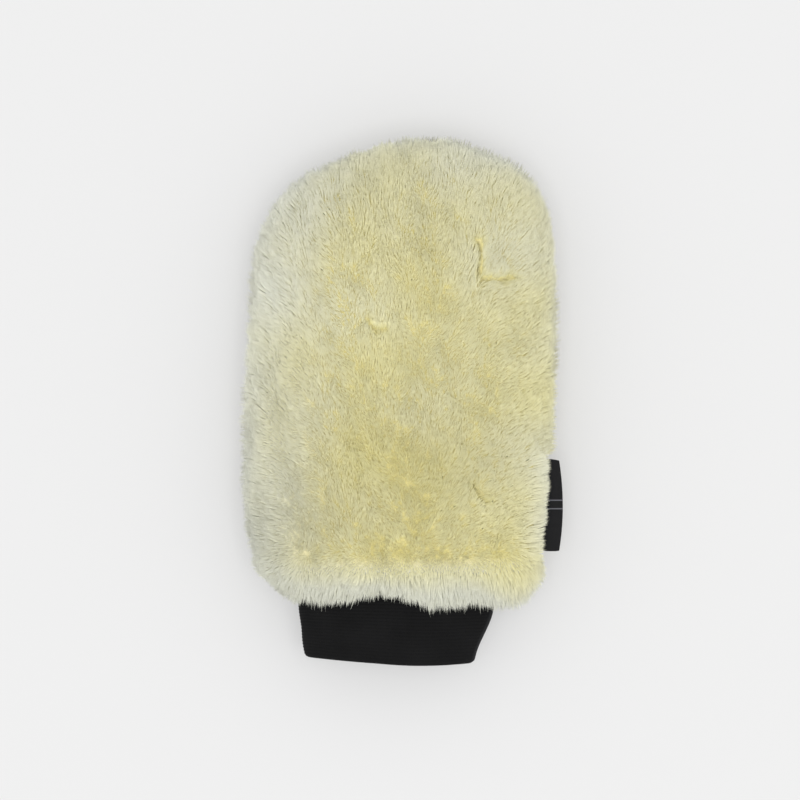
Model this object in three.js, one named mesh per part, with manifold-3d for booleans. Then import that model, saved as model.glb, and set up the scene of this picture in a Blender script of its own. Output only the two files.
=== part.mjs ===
// Wash mitt, lying flat and empty: a plush bag for the hand, with a lining inside, a knitted elastic
// cuff at its mouth and a folded tape label in its right-hand seam.
// Millimetres, +Z up, +Y to the fingertips, +X to the label. The origin is the middle of the bounding
// box's base, on the surface that the mitt lies on.
import * as THREE from "three";
import { mergeVertices } from "three/addons/utils/BufferGeometryUtils.js";
import Module from "manifold-3d";

const wasm = await Module();
wasm.setup();

// ---------- driving dimensions ----------
const SEAM_Z = 26; // height of the side seam above the surface that the mitt lies on
const GAP = 0.5; // clearance between neighbouring pieces
const SEAM_GAP = 0.3; // clearance between the upper and the lower pieces at the seam

const PILE_TOP = 34; // top of the upper pile, above the seam
const PILE_PRESSED = 30; // depth that the lower pile would have if the surface didn't press it flat
const PILE_REACH = 14; // from the seam to the outline of the pile
const BACKING_TOP = 16; // outside of the upper backing cloth, above the seam
const BACKING_BOTTOM = 13; // outside of the lower backing cloth, below the seam
const BACKING = 1; // thickness of the knitted backing that holds the pile
const LINING = 0.6; // thickness of the lining cloth
const FLANGE = 3; // seam allowance, flat in the plane of the seam
const THREAD = 1.2; // diameter of an overlock seam's bundle of thread

const CUFF_X = -4; // the cuff's middle at its root
const CUFF_END_X = -6.2; // and at its open end
const CUFF_WIDE = 49.5; // half width at the root
const CUFF_END_WIDE = 44.5; // half width at the open end
const CUFF_HIGH = 10; // half height at the root
const CUFF_END_HIGH = 10.5; // half height at the open end
const CUFF_PLY = 1.2; // thickness of one ply of the folded knit
const CUFF_ROOT_Y = -94; // the raw edges, inside the mouth
const CUFF_END_Y = -137.5; // lowest point of the folded edge
const CUFF_END_RISE = 3.6; // the folded edge is curved: its ends lie this much nearer the mitt
const CUFF_CORNER = 2.6; // exponent of the superellipse of the cuff and of the mouth
const CUFF_FOLD = 0.96; // share of the cuff's length where its inside fold starts

const MOUTH_ROOM = 3; // between the cuff and the backing, so that the cuff can bend
const PILE_ROOM_UP = 8; // how much further the pile stands off the cuff at its end, above
const PILE_ROOM_DOWN = 5; // and below

const LABEL_Y = -54; // middle of the label along the seam
const LABEL_LONG = 47; // width of the tape, along the seam
const LABEL_ROOT_X = 68.5; // the tape's edge, just outside the seam's thread
const LABEL_END_X = 83.6; // outside of the fold
const LABEL_TAPE = 0.7; // thickness of the tape
const LABEL_FOLD = 1.6; // outer radius of the fold
const LABEL_SWING = 20; // degrees either way
const LABEL_ROOM = 1.5; // clearance around the swinging label

const PILE_COLOUR = 0xd6cfa0;
const BACKING_COLOUR = 0xcfc9a4;
const LINING_COLOUR = 0xc9c7be;
const THREAD_COLOUR = 0xd8d4bc;
const BLACK_KNIT = 0x17171a;
const BLACK_TAPE = 0x141416;

// Outline of the pile seen from above, anticlockwise from the middle of the mouth.
const OUTLINE = [
  [0, -108], [35, -109.5], [58, -108], [70, -100], [74.5, -82], [77.5, -50], [79.5, 0], [80.7, 50],
  [78.8, 84], [74.6, 104], [66, 118], [49, 128.5], [30, 134.6], [14, 137.5], [-8, 135], [-32, 128.2],
  [-54, 117], [-67, 103], [-74.5, 88], [-77.5, 70], [-80.8, 35], [-83.6, -5], [-82.8, -40],
  [-80, -78], [-72, -98], [-58, -107], [-35, -108.5],
];
const MIDDLE = new THREE.Vector2(-1.5, 14); // of the outline's box
const HALF_WIDE = 82.2;
const HALF_LONG = 123.5;

// The domes' profile: full and round at the sides and the fingertips, steep at the mouth.
const SIDE_FULLNESS = 3;
const MOUTH_FULLNESS = 22;
const MOUTH_NARROWNESS = 5;

// ---------- resolution ----------
const RIM_STEPS = 56;
const RINGS = 6;
const CUFF_STEPS = 48;
const MOUTH_RIM_STEPS = 5; // steps from the mouth's middle to the end of a side seam
const THREAD_SIDES = 6;

// ---------- shapes ----------
function geometryOf(position, index) {
  return new THREE.BufferGeometry()
    .setAttribute("position", new THREE.Float32BufferAttribute(position, 3))
    .setIndex(index);
}

// The outline's rim, stretched outwards by a distance on every side. The distance is negative for an
// inset.
function rimPoints(outset) {
  const path = OUTLINE.map(([x, y]) => new THREE.Vector3(x, y, 0));
  const curve = new THREE.CatmullRomCurve3(path, true, "centripetal");
  const stretched = ({ x, y }) =>
    new THREE.Vector2(
      MIDDLE.x + (x - MIDDLE.x) * (1 + outset / HALF_WIDE),
      MIDDLE.y + (y - MIDDLE.y) * (1 + outset / HALF_LONG),
    );
  return curve.getSpacedPoints(RIM_STEPS).slice(0, -1).map(stretched);
}

// How much of a dome's height is left at a share of the way from its middle to its rim.
function profile(share, outward) {
  const mouthward = Math.max(0, -outward.y) ** MOUTH_NARROWNESS;
  const fullness = THREE.MathUtils.lerp(SIDE_FULLNESS, MOUTH_FULLNESS, mouthward);
  return Math.sqrt(1 - share ** fullness);
}

// A closed dome over the outline, above the seam (side 1) or below it (side -1). Its base lies at
// height base from the seam, and limit cuts its top flat.
function dome(side, { outset, top, base = SEAM_GAP / 2, limit = Infinity }) {
  const position = [];
  const index = [];
  const add = (x, y, height) => position.push(x, y, SEAM_Z + side * height) / 3 - 1;
  const face = (a, b, c) => index.push(...(side > 0 ? [a, b, c] : [a, c, b]));
  const points = rimPoints(outset);
  const rings = [];
  for (let j = 1; j <= RINGS; j++) {
    const share = Math.sin((j / RINGS) * (Math.PI / 2));
    const ring = points.map((rim) => {
      const left = profile(share, rim.clone().sub(MIDDLE).normalize());
      const at = MIDDLE.clone().lerp(rim, share);
      return add(at.x, at.y, Math.min(base + (top - base) * left, limit));
    });
    rings.push(ring);
  }
  const crown = add(MIDDLE.x, MIDDLE.y, Math.min(top, limit));
  const foot = add(MIDDLE.x, MIDDLE.y, base);
  const last = rings[RINGS - 1];
  for (let i = 0; i < RIM_STEPS; i++) {
    const next = (i + 1) % RIM_STEPS;
    face(crown, rings[0][i], rings[0][next]);
    face(foot, last[next], last[i]);
    for (let j = 0; j + 1 < RINGS; j++) {
      face(rings[j][i], rings[j + 1][i], rings[j + 1][next]);
      face(rings[j][i], rings[j + 1][next], rings[j][next]);
    }
  }
  return geometryOf(position, index);
}

const superellipse = (angle, wide, up, down) => {
  const c = Math.cos(angle);
  const s = Math.sin(angle);
  const power = 2 / CUFF_CORNER;
  return [wide * Math.sign(c) * Math.abs(c) ** power, (s > 0 ? up : -down) * Math.abs(s) ** power];
};

// A room round the cuff, between two stations along Y: { y, wide, up, down }.
function cuffRoom(inside, outside) {
  const position = [];
  const index = [];
  for (const { y, wide, up, down } of [inside, outside])
    for (let i = 0; i < CUFF_STEPS; i++) {
      const [x, z] = superellipse((i / CUFF_STEPS) * 2 * Math.PI, wide, up, down);
      position.push(CUFF_X + x, y, SEAM_Z + z);
    }
  position.push(CUFF_X, inside.y, SEAM_Z, CUFF_X, outside.y, SEAM_Z);
  const centre = 2 * CUFF_STEPS;
  for (let i = 0; i < CUFF_STEPS; i++) {
    const next = (i + 1) % CUFF_STEPS;
    const [a, b, c, d] = [i, next, CUFF_STEPS + i, CUFF_STEPS + next];
    index.push(a, b, d, a, d, c, centre, b, a, centre + 1, c, d);
  }
  return geometryOf(position, index);
}

// A section drawn in X and Z, extruded along Y about the label's middle.
function alongSeam(shape, length) {
  const made = new THREE.ExtrudeGeometry(shape, { depth: length, bevelEnabled: false, curveSegments: 6 });
  made.rotateX(Math.PI / 2);
  made.translate(0, LABEL_Y + length / 2, SEAM_Z);
  return made;
}

// A round thread through a list of points.
function thread(points, diameter, steps) {
  const round = new THREE.Shape();
  for (let i = 0; i < THREAD_SIDES; i++) {
    const angle = (i / THREAD_SIDES) * 2 * Math.PI;
    const [x, y] = [(Math.cos(angle) * diameter) / 2, (Math.sin(angle) * diameter) / 2];
    if (i === 0) round.moveTo(x, y);
    else round.lineTo(x, y);
  }
  const extrudePath = new THREE.CatmullRomCurve3(points, false, "centripetal");
  return new THREE.ExtrudeGeometry(round, { steps, extrudePath, bevelEnabled: false });
}

// ---------- booleans ----------
function solidOf(geometry) {
  const bare = geometry.clone();
  bare.deleteAttribute("normal");
  bare.deleteAttribute("uv");
  const merged = mergeVertices(bare, 1e-4);
  return new wasm.Manifold(
    new wasm.Mesh({
      numProp: 3,
      vertProperties: new Float32Array(merged.attributes.position.array),
      triVerts: new Uint32Array(merged.index.array),
    }),
  );
}

function cut(geometry, ...tools) {
  const left = tools.reduce((solid, tool) => solid.subtract(solidOf(tool)), solidOf(geometry));
  const mesh = left.getMesh();
  return geometryOf(Array.from(mesh.vertProperties), Array.from(mesh.triVerts));
}

// ---------- the bag ----------
const backingTop = (side) => (side > 0 ? BACKING_TOP : BACKING_BOTTOM);
const LINING_OUTSET = -PILE_REACH - FLANGE - THREAD - 3 * GAP;

// The pile of one face: from its backing out to the tips.
function pile(side) {
  const whole = side > 0 ? { outset: 0, top: PILE_TOP } : { outset: 0, top: PILE_PRESSED, limit: SEAM_Z };
  const inside = dome(side, {
    outset: THREAD + 3 * GAP - PILE_REACH,
    top: backingTop(side) + GAP,
    base: 0,
  });
  const room = MOUTH_ROOM + BACKING + GAP;
  const near = { y: CUFF_ROOT_Y + PILE_REACH, wide: CUFF_WIDE + room, up: CUFF_HIGH + room };
  near.down = near.up;
  const far = { y: CUFF_ROOT_Y - PILE_REACH - 4, wide: near.wide + GAP };
  far.up = near.up + PILE_ROOM_UP;
  far.down = near.down + PILE_ROOM_DOWN;
  return cut(dome(side, whole), inside, cuffRoom(near, far), labelRoom());
}

// The cloth that the pile is knitted into.
function backing(side) {
  const top = backingTop(side);
  const inside = dome(side, { outset: -PILE_REACH - FLANGE, top: top - BACKING, base: 0 });
  return cut(dome(side, { outset: -PILE_REACH, top }), inside, straightRoom(MOUTH_ROOM));
}

function lining(side) {
  const top = backingTop(side) - BACKING - GAP;
  const inside = dome(side, { outset: LINING_OUTSET - FLANGE, top: top - LINING, base: 0 });
  return cut(dome(side, { outset: LINING_OUTSET, top }), inside, straightRoom(-1));
}

function straightRoom(room) {
  const size = { wide: CUFF_WIDE + room, up: CUFF_HIGH + room, down: CUFF_HIGH + room };
  const near = { y: CUFF_ROOT_Y + 2 * PILE_REACH, ...size };
  return cuffRoom(near, { ...near, y: CUFF_ROOT_Y - PILE_REACH });
}

// The overlock thread along the raw edges of a layer, from one side of the mouth round to the other.
function edgeThread(outset) {
  const points = rimPoints(outset)
    .slice(MOUTH_RIM_STEPS, 1 - MOUTH_RIM_STEPS)
    .map(({ x, y }) => new THREE.Vector3(x, y, SEAM_Z));
  return thread(points, THREAD, points.length - 1);
}

// ---------- the cuff ----------
// A point on the cuff: share 0 is the root, share 1 the folded edge, and depth is into the knit.
function cuffPoint(angle, share, depth) {
  const middle = THREE.MathUtils.lerp(CUFF_X, CUFF_END_X, share);
  const wide = THREE.MathUtils.lerp(CUFF_WIDE, CUFF_END_WIDE, share) - depth;
  const high = THREE.MathUtils.lerp(CUFF_HIGH, CUFF_END_HIGH, share) - depth;
  const [x, z] = superellipse(angle, wide, high, high);
  const end = CUFF_END_Y + CUFF_END_RISE * (x / CUFF_END_WIDE) ** 2;
  return new THREE.Vector3(middle + x, THREE.MathUtils.lerp(CUFF_ROOT_Y, end, share), SEAM_Z + z);
}

// One knitted tube folded back on itself, so that two plies meet at the open end.
function cuffBand() {
  const thick = 2 * CUFF_PLY + GAP;
  const round = 0.985;
  const section = [
    [0, 0], [0.5, 0], [round, 0], [1, 0.35 * thick], [1, 0.65 * thick], [round, thick], [0.5, thick],
    [0, thick], [0, thick - CUFF_PLY], [CUFF_FOLD, thick - CUFF_PLY], [CUFF_FOLD, CUFF_PLY],
    [0, CUFF_PLY],
  ];
  const position = [];
  const index = [];
  const count = section.length;
  for (let i = 0; i < CUFF_STEPS; i++) {
    const next = (i + 1) % CUFF_STEPS;
    section.forEach(([share, depth], k) => {
      position.push(...cuffPoint((i / CUFF_STEPS) * 2 * Math.PI, share, depth).toArray());
      const [a, b] = [i * count + k, i * count + ((k + 1) % count)];
      const [c, d] = [next * count + k, next * count + ((k + 1) % count)];
      index.push(a, d, b, a, c, d);
    });
  }
  return geometryOf(position, index);
}

// The overlock thread round the cuff's raw edges, where it is joined to the shell.
function cuffJoinThread() {
  const diameter = THREAD * 0.66;
  const points = [];
  for (let i = 1; i < CUFF_STEPS; i++)
    points.push(cuffPoint((i / CUFF_STEPS) * 2 * Math.PI, 0.03, -diameter / 2 - GAP));
  return thread(points, diameter, CUFF_STEPS);
}

// The seam that closes the cuff's loop, inside its right-hand end.
function cuffClosingThread() {
  const depth = 2 * CUFF_PLY + 2 * GAP + THREAD / 2;
  const points = [0.04, 0.35, 0.65, 0.93].map((share) => cuffPoint(0, share, depth));
  return thread(points, THREAD, 10);
}

// ---------- the label ----------
// A tape folded in half: two legs that meet at the seam, and a round fold outside the pile.
function labelTape() {
  const fold = LABEL_END_X - LABEL_FOLD;
  const inner = LABEL_FOLD - LABEL_TAPE;
  const root = LABEL_TAPE + SEAM_GAP / 2;
  const shape = new THREE.Shape();
  shape.moveTo(LABEL_ROOT_X, SEAM_GAP / 2);
  shape.lineTo(LABEL_ROOT_X, root);
  shape.lineTo(fold, LABEL_FOLD);
  shape.absarc(fold, 0, LABEL_FOLD, Math.PI / 2, -Math.PI / 2, true);
  shape.lineTo(LABEL_ROOT_X, -root);
  shape.lineTo(LABEL_ROOT_X, -SEAM_GAP / 2);
  shape.lineTo(fold, -inner);
  shape.absarc(fold, 0, inner, -Math.PI / 2, Math.PI / 2, false);
  shape.closePath();
  return alongSeam(shape, LABEL_LONG);
}

// The wedge that the label sweeps through, opening outwards from the seam.
function labelRoom() {
  const start = LABEL_ROOT_X - LABEL_ROOM;
  const reach = LABEL_END_X - LABEL_ROOT_X + 2 * LABEL_ROOM;
  const root = LABEL_FOLD + GAP;
  const end = root + reach * Math.tan(THREE.MathUtils.degToRad(LABEL_SWING + 3));
  const shape = new THREE.Shape([
    new THREE.Vector2(start, -root),
    new THREE.Vector2(start + reach, -end),
    new THREE.Vector2(start + reach, end),
    new THREE.Vector2(start, root),
  ]);
  return alongSeam(shape, LABEL_LONG + 2 * LABEL_ROOM);
}

// ---------- assembly ----------
function piece(name, geometry, color, roughness) {
  const mesh = new THREE.Mesh(geometry, new THREE.MeshStandardMaterial({ color, roughness, metalness: 0 }));
  mesh.name = name;
  return mesh;
}

const bag = new THREE.Group();
bag.add(
  piece("upper_pile", pile(1), PILE_COLOUR, 0.9),
  piece("lower_pile", pile(-1), PILE_COLOUR, 0.9),
  piece("upper_backing", backing(1), BACKING_COLOUR, 0.9),
  piece("lower_backing", backing(-1), BACKING_COLOUR, 0.9),
  piece("upper_lining", lining(1), LINING_COLOUR, 0.85),
  piece("lower_lining", lining(-1), LINING_COLOUR, 0.85),
  piece("side_seam_thread", edgeThread(THREAD / 2 + 1.3 * GAP - PILE_REACH), THREAD_COLOUR, 0.7),
  piece("lining_seam_thread", edgeThread(LINING_OUTSET + THREAD / 2 + 1.5 * GAP), THREAD_COLOUR, 0.7),
);

const cuff = new THREE.Group();
cuff.add(
  piece("cuff_band", cuffBand(), BLACK_KNIT, 0.9),
  piece("cuff_join_thread", cuffJoinThread(), BLACK_KNIT, 0.7),
  piece("cuff_closing_thread", cuffClosingThread(), BLACK_KNIT, 0.7),
);

const label = new THREE.Group();
label.add(piece("label_tape", labelTape(), BLACK_TAPE, 0.55));

const mitt = new THREE.Group();
mitt.add(bag, cuff, label);

export default mitt;
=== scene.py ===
import math

import bmesh
import bpy
import numpy as np
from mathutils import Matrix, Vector
from mathutils.bvhtree import BVHTree
from mathutils.kdtree import KDTree


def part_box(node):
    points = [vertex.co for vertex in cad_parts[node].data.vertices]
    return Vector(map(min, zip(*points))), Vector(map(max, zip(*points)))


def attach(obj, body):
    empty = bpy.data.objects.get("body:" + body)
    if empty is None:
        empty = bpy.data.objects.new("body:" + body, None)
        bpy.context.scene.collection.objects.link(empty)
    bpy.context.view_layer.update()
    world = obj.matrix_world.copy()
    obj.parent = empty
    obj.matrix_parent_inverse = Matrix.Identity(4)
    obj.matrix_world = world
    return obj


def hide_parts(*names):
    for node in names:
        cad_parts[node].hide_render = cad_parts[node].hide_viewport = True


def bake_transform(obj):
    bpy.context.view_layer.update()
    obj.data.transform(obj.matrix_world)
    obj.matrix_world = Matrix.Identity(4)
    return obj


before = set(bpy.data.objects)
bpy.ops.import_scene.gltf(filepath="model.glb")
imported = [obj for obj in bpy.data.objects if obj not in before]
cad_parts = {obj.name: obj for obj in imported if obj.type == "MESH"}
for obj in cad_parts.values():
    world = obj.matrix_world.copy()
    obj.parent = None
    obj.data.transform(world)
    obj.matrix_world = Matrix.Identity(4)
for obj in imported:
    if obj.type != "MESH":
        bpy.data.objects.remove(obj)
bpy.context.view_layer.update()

random = np.random.default_rng(20)
MM = 0.001

# ---------- sizes, in metres ----------
SEAM_Z = 0.5 * (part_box("upper_backing")[0].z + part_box("lower_backing")[1].z)
BAG_END_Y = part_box("upper_backing")[0].y
CUFF_LOW, CUFF_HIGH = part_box("cuff_band")
CUFF_ROOT_Y = CUFF_HIGH.y
LABEL_LOW, LABEL_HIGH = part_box("label_tape")
LABEL_MIDDLE_Y = 0.5 * (LABEL_LOW.y + LABEL_HIGH.y)
SECTION_POWER = 2.6  # how square the sections of the bag and the cuff are

BACKING = 1.0 * MM  # thickness of the knit that holds the pile
LINING = 0.6 * MM  # thickness of the lining cloth
SHOULDER = 14 * MM  # length over which the bag narrows to its mouth
LINING_SHOULDER = 12 * MM

WOOL_DEPTH = 9.8 * MM  # from the backing to where the yarn ends part
ROOT_DEPTH = 3.6 * MM  # how far the drawn yarn ends reach into the wool
YARN_END = 7.8 * MM  # drawn length of a yarn end
LAY = 0.42  # how far the pile lies over: towards the fingertips, and near the mouth towards the cuff
LAY_FAN = 170 * MM  # the lay fans out as if from a point this far away
LEANS_WIDE, LEANS_SMALL = 0.15, 0.14  # how far patches and tufts of yarn ends lean on their own
LEAN_LOOSE = 0.22  # and each single end, where the lay turns; elsewhere less
LEAN_AT_PARTING = 0.45
LEAN_OVER_LABEL = 1.1
GRAIN = np.array([1.0, 0.5, 1.0])  # tufts and hills are drawn out along Y, as the pile lies
UPPER_YARNS = 110000
LOWER_YARNS = 36000
YARNS_PER_PIECE = 12400
STATIONS = np.array([0.0, 0.38, 0.72, 1.0])  # places along a yarn end
WIDTHS = np.array([0.45, 0.47, 0.32]) * MM  # and its width there
TUFTS = [(0.012, 1.0, 0.5), (0.10, 0.7, 0.30)]  # share of leading ends, loss at the hem, spread
TUFT_PULL = 0.22  # how far the other ends are drawn to the leading ones
SOFTNESS = 0.98  # how much a yarn end is lit as a part of the pile, not by itself
HILLS = 0.22 * MM  # how high the small hills of the tufts stand
GROOVE = 3.8 * MM  # depth of a full parting in the wool
PARTING_WIDTH = 1.9 * MM
FLOOR_GAP = 0.4 * MM  # between the pile and the surface it lies on

LAY_TURNS_Y = CUFF_ROOT_Y + 10 * MM  # below this the pile lies towards the cuff
HEM_Y = CUFF_ROOT_Y - 11.6 * MM  # where the fringe over the cuff ends
HEM_SHARE = 0.19  # the part of the bag's rows, from its mouth, whose yarn ends make the fringe

# the cuff's two edges and its half height, in equal steps from its root to its open end
CUFF_LEFT = np.array([-54.0, -54.0, -53.4, -52.6, -51.6, -50.4]) * MM
CUFF_RIGHT = np.array([46.0, 48.3, 48.0, 43.9, 40.0, 37.6]) * MM
CUFF_UP = np.array([10.0, 10.2, 10.3, 10.4, 10.5, 10.5]) * MM
CUFF_END_Y = CUFF_LOW.y
CUFF_MIDDLE_X = -4 * MM
CUFF_KEPT_WIDE, CUFF_KEPT_HIGH = 51 * MM, 10.9 * MM  # half of what the fringe leaves to the cuff
CUFF_SAG_X = 9 * MM  # where the open end hangs lowest
CUFF_SAG_ROUND = 7 * MM
CUFF_RISE_LEFT = 0.082  # slope of the open end to the left of that place
CUFF_RISE_RIGHT = 0.048  # and to its right
CUFF_PLY = 1.2 * MM
CUFF_PLY_GAP = 0.5 * MM
RIB_PITCH = 1.8 * MM
RIB_DEPTH = 0.22 * MM

LABEL_TAPE = 0.5 * MM
LABEL_FOLD = 1.2 * MM  # outer radius of the fold
LABEL_ROOT = 0.7 * MM  # half thickness where the two plies go into the seam
LABEL_BOW = 1.9 * MM  # the fold lies this much further out at its middle than at its ends
LABEL_ROOM = 2.1 * MM  # between the seam's plane and the pile, at the label's root
LABEL_SLOPE = 0.43  # how fast that room grows outwards, for the label to swing in
LABEL_LINES_APART = 4.4 * MM

THREAD = 0.24 * MM  # radius of a sewing thread
STITCH = 2.6 * MM  # length of an overlock stitch


# ---------- the bag's shape, read from the CAD nodes by rays ----------
class Probe:
    """Finds where a straight line first meets a CAD node."""

    def __init__(self, node):
        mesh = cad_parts[node].data
        self.tree = BVHTree.FromPolygons(
            [v.co for v in mesh.vertices], [tuple(p.vertices) for p in mesh.polygons]
        )

    def hit(self, start, direction):
        return self.tree.ray_cast(Vector(start), Vector(direction))[0]


def smoothed(values, passes):
    """A list of numbers with its facets rounded off; the ends stay."""
    values = np.array(values, float)
    for _ in range(passes):
        values[1:-1] = 0.25 * values[:-2] + 0.5 * values[1:-1] + 0.25 * values[2:]
    return values


def unit(vectors):
    size = np.linalg.norm(vectors, axis=-1, keepdims=True)
    return vectors / np.maximum(size, 1e-12)


def waves(points, lengths, seed, per_length=5):
    """A smooth random vector at each point, made of sine waves of the given lengths."""
    own = np.random.default_rng(seed)
    total = np.zeros_like(points)
    for length in lengths:
        for _ in range(per_length):
            direction = unit(own.normal(size=3)) * 2 * math.pi / length
            phase = own.uniform(0, 2 * math.pi, 3)
            total += own.normal(size=3) * np.sin((points @ direction)[..., None] + phase)
    return total / math.sqrt(per_length * len(lengths))


def superellipse(around, left, right, up, down):
    """x and z of a section through a bag or a cuff; around is 0 at its right and 0.5 at its left."""
    angle = 2 * math.pi * around
    c, s = np.cos(angle), np.sin(angle)
    power = 2 / SECTION_POWER
    x = 0.5 * (left + right) + 0.5 * (right - left) * np.sign(c) * np.abs(c) ** power
    z = SEAM_Z + np.where(s > 0, up, down) * np.sign(s) * np.abs(s) ** power
    return x, z


class Sleeve:
    """A bag's surface, from along = 0 at its mouth to along = 1 at its fingertips."""

    ROWS = 90
    SHOULDER_SHARE = 0.2  # share of the rows that curve in from the bag's end to its mouth

    def __init__(self, upper, lower, mouth, shoulder):
        above, below = Probe(upper), Probe(lower)
        low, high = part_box(upper)
        first = low.y + shoulder
        last = high.y - 0.05 * MM
        count = round(self.ROWS * (1 - self.SHOULDER_SHARE))
        ys = first + (last - first) * np.sin(np.linspace(0, 1, count) * math.pi / 2)
        left, right, up, down = [], [], [], []
        z = SEAM_Z + 0.4 * MM
        for y in ys:
            a = above.hit((-1, y, z), (1, 0, 0))
            b = above.hit((1, y, z), (-1, 0, 0))
            left.append(a.x if a else left[-1])
            right.append(b.x if b else right[-1])
            middle = 0.5 * (left[-1] + right[-1])
            top = above.hit((middle, y, 1), (0, 0, -1))
            base = below.hit((middle, y, -1), (0, 0, 1))
            up.append(top.z - SEAM_Z if top else 0)
            down.append(SEAM_Z - base.z if base else 0)
        body = np.stack([smoothed(v, 4) for v in (ys, left, right, up, down)], axis=1)
        turn = np.linspace(0, math.pi / 2, self.ROWS - count, endpoint=False)
        start = np.array(mouth)
        curved = start + (body[0] - start) * np.sin(turn)[:, None]
        curved[:, 0] = mouth[0] + (first - mouth[0]) * (1 - np.cos(turn))
        self.rows = np.concatenate([curved, body])
        self.where = np.linspace(0, 1, len(self.rows))

    def at(self, along, around):
        y, left, right, up, down = [
            np.interp(along, self.where, self.rows[:, k]) for k in range(5)
        ]
        x, z = superellipse(around, left, right, up, down)
        return np.stack([x, y, z], axis=-1)

    def normal(self, along, around):
        e = 0.004
        a0, a1 = np.clip(along - e, 0, 1), np.clip(along + e, 0, 1)
        du = self.at(a1, around) - self.at(a0, around)
        dv = self.at(along, around + e) - self.at(along, around - e)
        return unit(np.cross(du, dv))

    def lifted(self, along, around, height):
        """The surface moved along its normal; the fingertips' end stays closed in the seam's plane."""
        place = self.at(along, around) + self.normal(along, around) * np.asarray(height)[..., None]
        tip = np.clip((along - 0.94) / 0.06, 0, 1)
        flat = SEAM_Z + (place[..., 2] - SEAM_Z) * np.sqrt(1 - tip**2)
        place[..., 2] = np.where(np.asarray(height) > 0, flat, place[..., 2])
        return place


def from_seam(around):
    """How far a place is from the right-hand seam, as a share of the way round."""
    return np.minimum(around, 1 - around)


shell = Sleeve(
    "upper_backing",
    "lower_backing",
    (BAG_END_Y - 1 * MM, CUFF_LOW.x + 0.2 * MM, CUFF_HIGH.x + 0.6 * MM, 11 * MM, 11 * MM),
    SHOULDER,
)
lining = Sleeve(
    "upper_lining",
    "lower_lining",
    (CUFF_ROOT_Y + 0.4 * MM, CUFF_LOW.x + 3.4 * MM, CUFF_HIGH.x - 3.2 * MM, 6.8 * MM, 6.8 * MM),
    LINING_SHOULDER,
)


# short partings in the upper pile, in mm: x and y of their two ends, and how strong they are
PARTINGS = [
    (38, 79, 38.5, 62, 0.9),
    (40, 60, 55, 61, 0.75),
    (35.6, -44, 42, -53, 0.65),
    (-20, 39, -11, 34, 0.6),
    (8, -63, 16, -60, 0.4),
]


def parting(points):
    """The direction away from the nearest parting, times its strength, and how close it is."""
    away = np.zeros_like(points)
    close = np.zeros(points.shape[:-1])
    bend = 1.1 * MM * waves(points, [12 * MM, 7 * MM], 40)[..., :2]
    for x0, y0, x1, y1, strength in PARTINGS:
        a, b = np.array([x0, y0]) * MM, np.array([x1, y1]) * MM
        flat = points[..., :2] + bend
        share = np.clip((flat - a) @ (b - a) / ((b - a) @ (b - a)), 0, 1)
        off = flat - (a + share[..., None] * (b - a))
        fall = strength * np.exp(-((np.linalg.norm(off, axis=-1) / PARTING_WIDTH) ** 2))
        away[..., :2] += fall[..., None] * unit(off)
        close = np.maximum(close, fall)
    return away, close


# where the pile stands fuller or thinner than elsewhere, in mm: x, y, reach and by how much
FULLNESS = [
    (62, 100, 25, 2.0),
    (-24, 118, 24, -2.5),
    (64, -97, 14, 6.5),
    (-67, -95, 14, 2.0),
    (-70, 8, 34, -1.8),
]

# where the pile is painted lighter or darker than elsewhere, as painted light and shade for how the light
# falls on its lay, in mm: x, y, reach and by how much
PAINTED_LIGHT_AND_SHADE = [
    (-25, 40, 42, 0.08),
    (44, -76, 26, 0.04),
    (-6, -82, 22, 0.05),
    (52, 14, 26, 0.05),
    (-68, -62, 24, -0.13),
    (25, -40, 20, -0.10),
    (-15, 115, 18, -0.07),
]

# where it is paler or yellower than elsewhere, in mm: x, y, reach and by how much
PALENESS = [
    (-20, 48, 36, 0.22),
    (2, -40, 38, -0.40),
]


def spot(points, x, y, reach):
    """1 at a place, x and y in mm, falling to nearly 0 at twice its reach."""
    off = np.linalg.norm(points[..., :2] - np.array([x, y]) * MM, axis=-1)
    return np.exp(-((off / (reach * MM)) ** 2))


class Wool:
    """The surface that the yarn ends come out of. It leaves the label's root free."""

    def height(self, along, around):
        near_mouth = np.clip((along - 0.02) / 0.12, 0, 1)
        base = shell.at(along, around)
        half = 0.5 * (LABEL_HIGH.y - LABEL_LOW.y) + 2.5 * MM
        across = np.where(around < 0.5, 0.022, 0.034)
        notch = np.exp(-(((base[..., 1] - LABEL_MIDDLE_Y) / half) ** 12))
        notch *= np.exp(-((from_seam(around) / across) ** 2))
        groove = np.where(around < 0.5, GROOVE * parting(base)[1] ** 2.5, 0)
        depth = WOOL_DEPTH * (0.3 + 0.7 * near_mouth)
        for x, y, reach, by in FULLNESS:
            depth = depth + by * MM * spot(base, x, y, reach)
        return depth * (1 - 0.9 * notch) - groove

    def at(self, along, around):
        place = shell.lifted(along, around, self.height(along, around))
        place[..., 2] = np.maximum(place[..., 2], 2.0 * MM)
        return place

    def tufted(self, along, around):
        """The same surface with the small hills that the yarn ends make together."""
        place = self.at(along, around)
        hills = waves(place * GRAIN, [9 * MM, 5 * MM, 3.2 * MM], 11)[..., 0]
        place += shell.normal(along, around) * (HILLS * hills - 0.2 * MM)[..., None]
        place[..., 2] = np.maximum(place[..., 2], 1.2 * MM)
        return place

    def inside(self, along, around):
        """The wool's own inside, clear of the seam's thread."""
        seam = np.abs(np.cos(2 * math.pi * around)) ** 12
        clear = np.minimum(0.4 * MM + 2.2 * MM * seam, 0.8 * self.height(along, around))
        return shell.lifted(along, around, clear)


wool = Wool()


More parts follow.
